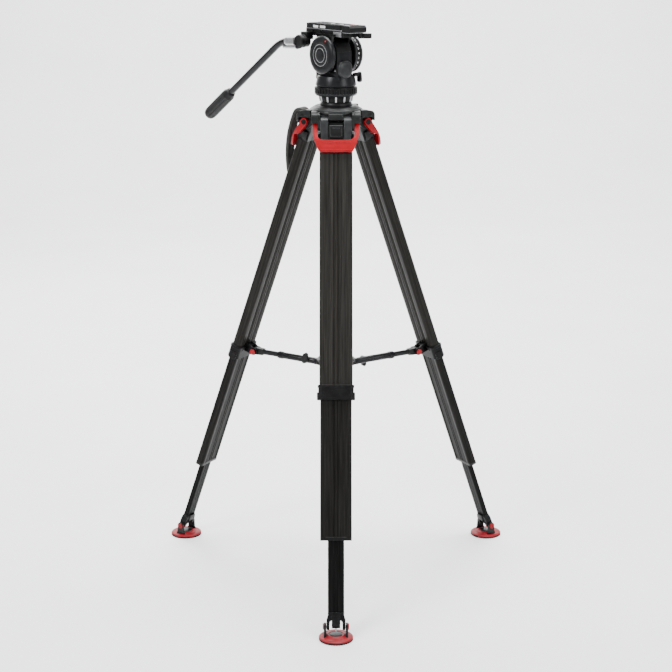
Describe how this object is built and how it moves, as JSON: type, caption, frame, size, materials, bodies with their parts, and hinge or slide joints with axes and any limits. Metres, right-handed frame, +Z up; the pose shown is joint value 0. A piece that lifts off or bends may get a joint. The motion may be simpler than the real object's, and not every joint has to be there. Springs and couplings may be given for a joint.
{
  "type": "video tripod",
  "caption": "Carbon-fibre video tripod with telescoping legs, mid-level spreader, half-ball bowl and a fluid pan and tilt head with sliding camera plate and pan bar.",
  "frame": {"origin": "centre of the bounding box, on the floor under it", "axes": "+Z up; -Y towards the front leg; the pan axis is vertical, 84 mm behind the origin"},
  "size_m": [0.8496, 0.8013, 1.3196],
  "materials": {
    "carbon": "semi-gloss lacquered carbon fibre",
    "black_plastic": "fine-grained matt",
    "satin_grey": "satin dark grey",
    "red_plastic": "satin signal red",
    "red_rubber": "matt crimson",
    "handle_rubber": "matt warm grey",
    "bare_alloy": "fine brushed",
    "grip_rubber": "matt fluted"
  },
  "bodies": {
    "crown": {"crown": "black_plastic"},
    "front_leg": {"front_leg_head": "satin_grey", "front_upper_tube": "carbon", "front_collar": "black_plastic"},
    "front_lever": {"front_brake_lever": "red_plastic"},
    "front_latch": {"front_angle_latch": "black_plastic"},
    "front_mid": {"front_mid_tube": "carbon"},
    "front_low": {"front_lower_tube": "carbon", "front_foot_fork": "black_plastic"},
    "front_pad": {"front_foot_pad": "red_rubber"},
    "front_rod": {"front_spreader_rod": "black_plastic"},
    "front_sleeve": {"front_spreader_sleeve": "black_plastic"},
    "front_wing": {"front_wing_screw": "black_plastic"},
    "front_button": {"front_spreader_button": "red_plastic"},
    "right_leg": {"right_leg_head": "satin_grey", "right_upper_tube": "carbon", "right_collar": "black_plastic"},
    "right_lever": {"right_brake_lever": "red_plastic"},
    "right_latch": {"right_angle_latch": "black_plastic"},
    "right_mid": {"right_mid_tube": "carbon"},
    "right_low": {"right_lower_tube": "carbon", "right_foot_fork": "black_plastic"},
    "right_pad": {"right_foot_pad": "red_rubber"},
    "right_rod": {"right_spreader_rod": "black_plastic"},
    "right_sleeve": {"right_spreader_sleeve": "black_plastic"},
    "right_wing": {"right_wing_screw": "black_plastic"},
    "right_button": {"right_spreader_button": "red_plastic"},
    "left_leg": {"left_leg_head": "satin_grey", "left_upper_tube": "carbon", "left_collar": "black_plastic", "carry_handle": "handle_rubber"},
    "left_lever": {"left_brake_lever": "red_plastic"},
    "left_latch": {"left_angle_latch": "black_plastic"},
    "left_mid": {"left_mid_tube": "carbon"},
    "left_low": {"left_lower_tube": "carbon", "left_foot_fork": "black_plastic"},
    "left_pad": {"left_foot_pad": "red_rubber"},
    "left_rod": {"left_spreader_rod": "black_plastic"},
    "left_sleeve": {"left_spreader_sleeve": "black_plastic"},
    "left_wing": {"left_wing_screw": "black_plastic"},
    "left_button": {"left_spreader_button": "red_plastic"},
    "hub": {"spreader_hub": "black_plastic"},
    "cup": {"clamp_cup": "black_plastic"},
    "ball": {"half_ball": "satin_grey", "pan_base": "black_plastic"},
    "tie_knob": {"tie_down_knob": "black_plastic"},
    "pan_ring": {"pan_drag_ring": "black_plastic"},
    "pan": {"pan_housing": "satin_grey"},
    "tilt": {"platform": "black_plastic", "tilt_axle": "bare_alloy"},
    "cb_disc": {"counterbalance_disc": "black_plastic"},
    "drag_ring": {"tilt_drag_ring": "black_plastic"},
    "plate": {"camera_plate": "black_plastic"},
    "plate_button": {"plate_release_button": "red_plastic"},
    "plate_lever": {"plate_lock_lever": "black_plastic"},
    "pan_lever": {"pan_brake_lever": "red_plastic"},
    "tilt_lever": {"tilt_brake_lever": "red_plastic"},
    "bar": {"rosette_clamp": "bare_alloy", "pan_bar": "black_plastic", "pan_bar_grip": "grip_rubber"}
  },
  "joints": [
    {"name": "front_fold", "type": "hinge", "parent": "crown", "child": "front_leg", "pos_m": [0, 0.028, 1.0957], "axis": [1, 0, 0], "range_deg": [0, 17.5]},
    {"name": "front_lever_lift", "type": "hinge", "parent": "front_leg", "child": "front_lever", "pos_m": [0, 0.028, 1.0957], "axis": [-1, 0, 0], "range_deg": [0, 12]},
    {"name": "front_latch_slide", "type": "slide", "parent": "front_leg", "child": "front_latch", "axis": [0, -0.3437, -0.9391], "range_m": [0, 0.0035]},
    {"name": "front_mid_slide", "type": "slide", "parent": "front_leg", "child": "front_mid", "axis": [0, -0.3437, -0.9391], "range_m": [-0.297, 0.13]},
    {"name": "front_low_slide", "type": "slide", "parent": "front_mid", "child": "front_low", "axis": [0, -0.3437, -0.9391], "range_m": [-0.11, 0.29]},
    {"name": "front_pad_tip", "type": "hinge", "parent": "front_low", "child": "front_pad", "pos_m": [0, -0.36205, 0.02983], "axis": [1, 0, 0], "range_deg": [-20, 20]},
    {"name": "front_arm_fold", "type": "hinge", "parent": "front_leg", "child": "front_rod", "pos_m": [0, -0.14301, 0.51724], "axis": [1, 0, 0], "range_deg": [0, 72.66]},
    {"name": "front_arm_slide", "type": "slide", "parent": "front_rod", "child": "front_sleeve", "axis": [0, 0.9997, -0.0227], "range_m": [-0.0401, 0]},
    {"name": "front_wing_turn", "type": "hinge", "parent": "front_sleeve", "child": "front_wing", "pos_m": [0, 0.00295, 0.51392], "axis": [1, 0, 0], "range_deg": [-90, 90]},
    {"name": "front_button_press", "type": "slide", "parent": "front_leg", "child": "front_button", "axis": [-1, 0, 0], "range_m": [0, 0.002], "stiffness_N_per_m": 600, "springref_m": -0.003},
    {"name": "right_fold", "type": "hinge", "parent": "crown", "child": "right_leg", "pos_m": [0.0485, 0.112, 1.0957], "axis": [-0.5, 0.866, 0], "range_deg": [0, 17.5]},
    {"name": "right_lever_lift", "type": "hinge", "parent": "right_leg", "child": "right_lever", "pos_m": [0.0485, 0.112, 1.0957], "axis": [0.5, -0.866, 0], "range_deg": [0, 12]},
    {"name": "right_latch_slide", "type": "slide", "parent": "right_leg", "child": "right_latch", "axis": [0.2976, 0.1718, -0.9391], "range_m": [0, 0.0035]},
    {"name": "right_mid_slide", "type": "slide", "parent": "right_leg", "child": "right_mid", "axis": [0.2976, 0.1718, -0.9391], "range_m": [-0.297, 0.13]},
    {"name": "right_low_slide", "type": "slide", "parent": "right_mid", "child": "right_low", "axis": [0.2976, 0.1718, -0.9391], "range_m": [-0.11, 0.29]},
    {"name": "right_pad_tip", "type": "hinge", "parent": "right_low", "child": "right_pad", "pos_m": [0.38629, 0.30703, 0.02983], "axis": [-0.5, 0.866, 0], "range_deg": [-20, 20]},
    {"name": "right_arm_fold", "type": "hinge", "parent": "right_leg", "child": "right_rod", "pos_m": [0.1966, 0.1975, 0.51724], "axis": [-0.5, 0.866, 0], "range_deg": [0, 72.66]},
    {"name": "right_arm_slide", "type": "slide", "parent": "right_rod", "child": "right_sleeve", "axis": [-0.8658, -0.4999, -0.0227], "range_m": [-0.0401, 0]},
    {"name": "right_wing_turn", "type": "hinge", "parent": "right_sleeve", "child": "right_wing", "pos_m": [0.07019, 0.12452, 0.51392], "axis": [-0.5, 0.866, 0], "range_deg": [-90, 90]},
    {"name": "right_button_press", "type": "slide", "parent": "right_leg", "child": "right_button", "axis": [0.5, -0.866, 0], "range_m": [0, 0.002], "stiffness_N_per_m": 600, "springref_m": -0.003},
    {"name": "left_fold", "type": "hinge", "parent": "crown", "child": "left_leg", "pos_m": [-0.0485, 0.112, 1.0957], "axis": [-0.5, -0.866, 0], "range_deg": [0, 17.5]},
    {"name": "left_lever_lift", "type": "hinge", "parent": "left_leg", "child": "left_lever", "pos_m": [-0.0485, 0.112, 1.0957], "axis": [0.5, 0.866, 0], "range_deg": [0, 12]},
    {"name": "left_latch_slide", "type": "slide", "parent": "left_leg", "child": "left_latch", "axis": [-0.2976, 0.1718, -0.9391], "range_m": [0, 0.0035]},
    {"name": "left_mid_slide", "type": "slide", "parent": "left_leg", "child": "left_mid", "axis": [-0.2976, 0.1718, -0.9391], "range_m": [-0.297, 0.13]},
    {"name": "left_low_slide", "type": "slide", "parent": "left_mid", "child": "left_low", "axis": [-0.2976, 0.1718, -0.9391], "range_m": [-0.11, 0.29]},
    {"name": "left_pad_tip", "type": "hinge", "parent": "left_low", "child": "left_pad", "pos_m": [-0.38629, 0.30703, 0.02983], "axis": [-0.5, -0.866, 0], "range_deg": [-20, 20]},
    {"name": "left_arm_fold", "type": "hinge", "parent": "left_leg", "child": "left_rod", "pos_m": [-0.1966, 0.1975, 0.51724], "axis": [-0.5, -0.866, 0], "range_deg": [0, 72.66]},
    {"name": "left_arm_slide", "type": "slide", "parent": "left_rod", "child": "left_sleeve", "axis": [0.8658, -0.4999, -0.0227], "range_m": [-0.0401, 0]},
    {"name": "left_wing_turn", "type": "hinge", "parent": "left_sleeve", "child": "left_wing", "pos_m": [-0.07019, 0.12452, 0.51392], "axis": [-0.5, -0.866, 0], "range_deg": [-90, 90]},
    {"name": "left_button_press", "type": "slide", "parent": "left_leg", "child": "left_button", "axis": [0.5, 0.866, 0], "range_m": [0, 0.002], "stiffness_N_per_m": 600, "springref_m": -0.003},
    {"name": "hub_level", "type": "hinge", "parent": "front_sleeve", "child": "hub", "pos_m": [0, 0.042, 0.51304], "axis": [1, 0, 0], "range_deg": [-90.16, 0]},
    {"name": "level_side", "type": "hinge", "parent": "crown", "child": "cup", "pos_m": [0, 0.084, 1.133], "axis": [1, 0, 0], "range_deg": [-8, 8]},
    {"name": "level_front", "type": "hinge", "parent": "cup", "child": "ball", "pos_m": [0, 0.084, 1.133], "axis": [0, 1, 0], "range_deg": [-8, 8]},
    {"name": "tie_down_turn", "type": "hinge", "parent": "ball", "child": "tie_knob", "pos_m": [0, 0.084, 1.133], "axis": [0, 0, 1], "continuous": true},
    {"name": "pan_drag_turn", "type": "hinge", "parent": "ball", "child": "pan_ring", "pos_m": [0, 0.084, 1.167], "axis": [0, 0, 1], "range_deg": [-120, 120]},
    {"name": "pan", "type": "hinge", "parent": "ball", "child": "pan", "pos_m": [0, 0.084, 1.178], "axis": [0, 0, 1], "continuous": true},
    {"name": "tilt", "type": "hinge", "parent": "pan", "child": "tilt", "pos_m": [0, 0.084, 1.249], "axis": [-0.7771, -0.6293, 0], "range_deg": [-70, 25]},
    {"name": "counterbalance_turn", "type": "hinge", "parent": "pan", "child": "cb_disc", "pos_m": [-0.03186, 0.0582, 1.249], "axis": [-0.7771, -0.6293, 0], "range_deg": [-150, 150]},
    {"name": "tilt_drag_turn", "type": "hinge", "parent": "pan", "child": "drag_ring", "pos_m": [0.03186, 0.1098, 1.249], "axis": [-0.7771, -0.6293, 0], "range_deg": [-120, 120]},
    {"name": "pan_brake", "type": "hinge", "parent": "pan", "child": "pan_lever", "pos_m": [0.04997, 0.08586, 1.203], "axis": [-0.7771, -0.6293, 0], "range_deg": [0, 60]},
    {"name": "tilt_brake", "type": "hinge", "parent": "pan", "child": "tilt_lever", "pos_m": [0.01221, 0.13249, 1.203], "axis": [0.7771, 0.6293, 0], "range_deg": [0, 60]},
    {"name": "plate_slide", "type": "slide", "parent": "tilt", "child": "plate", "axis": [-0.6293, 0.7771, 0], "range_m": [0, 0.045]},
    {"name": "plate_button_press", "type": "slide", "parent": "tilt", "child": "plate_button", "axis": [0, 0, -1], "range_m": [0, 0.002], "stiffness_N_per_m": 600, "springref_m": -0.003},
    {"name": "plate_lock_turn", "type": "hinge", "parent": "tilt", "child": "plate_lever", "pos_m": [0.05552, 0.04404, 1.295], "axis": [0, 0, 1], "range_deg": [-40, 0]},
    {"name": "bar_swing", "type": "hinge", "parent": "tilt", "child": "bar", "pos_m": [-0.08476, 0.10286, 1.277], "axis": [-0.7771, -0.6293, 0], "range_deg": [-40, 5]}
  ],
  "couplings": [
    {"joint": "front_arm_fold", "follows": "front_fold", "ratio": 4.1461},
    {"joint": "front_arm_slide", "follows": "front_fold", "m_per_rad": -0.13096},
    {"joint": "right_arm_fold", "follows": "front_fold", "ratio": 4.1461},
    {"joint": "right_arm_slide", "follows": "front_fold", "m_per_rad": -0.13096},
    {"joint": "right_fold", "follows": "front_fold", "ratio": 1},
    {"joint": "left_arm_fold", "follows": "front_fold", "ratio": 4.1461},
    {"joint": "left_arm_slide", "follows": "front_fold", "m_per_rad": -0.13096},
    {"joint": "left_fold", "follows": "front_fold", "ratio": 1},
    {"joint": "hub_level", "follows": "front_fold", "ratio": -5.1461}
  ]
}
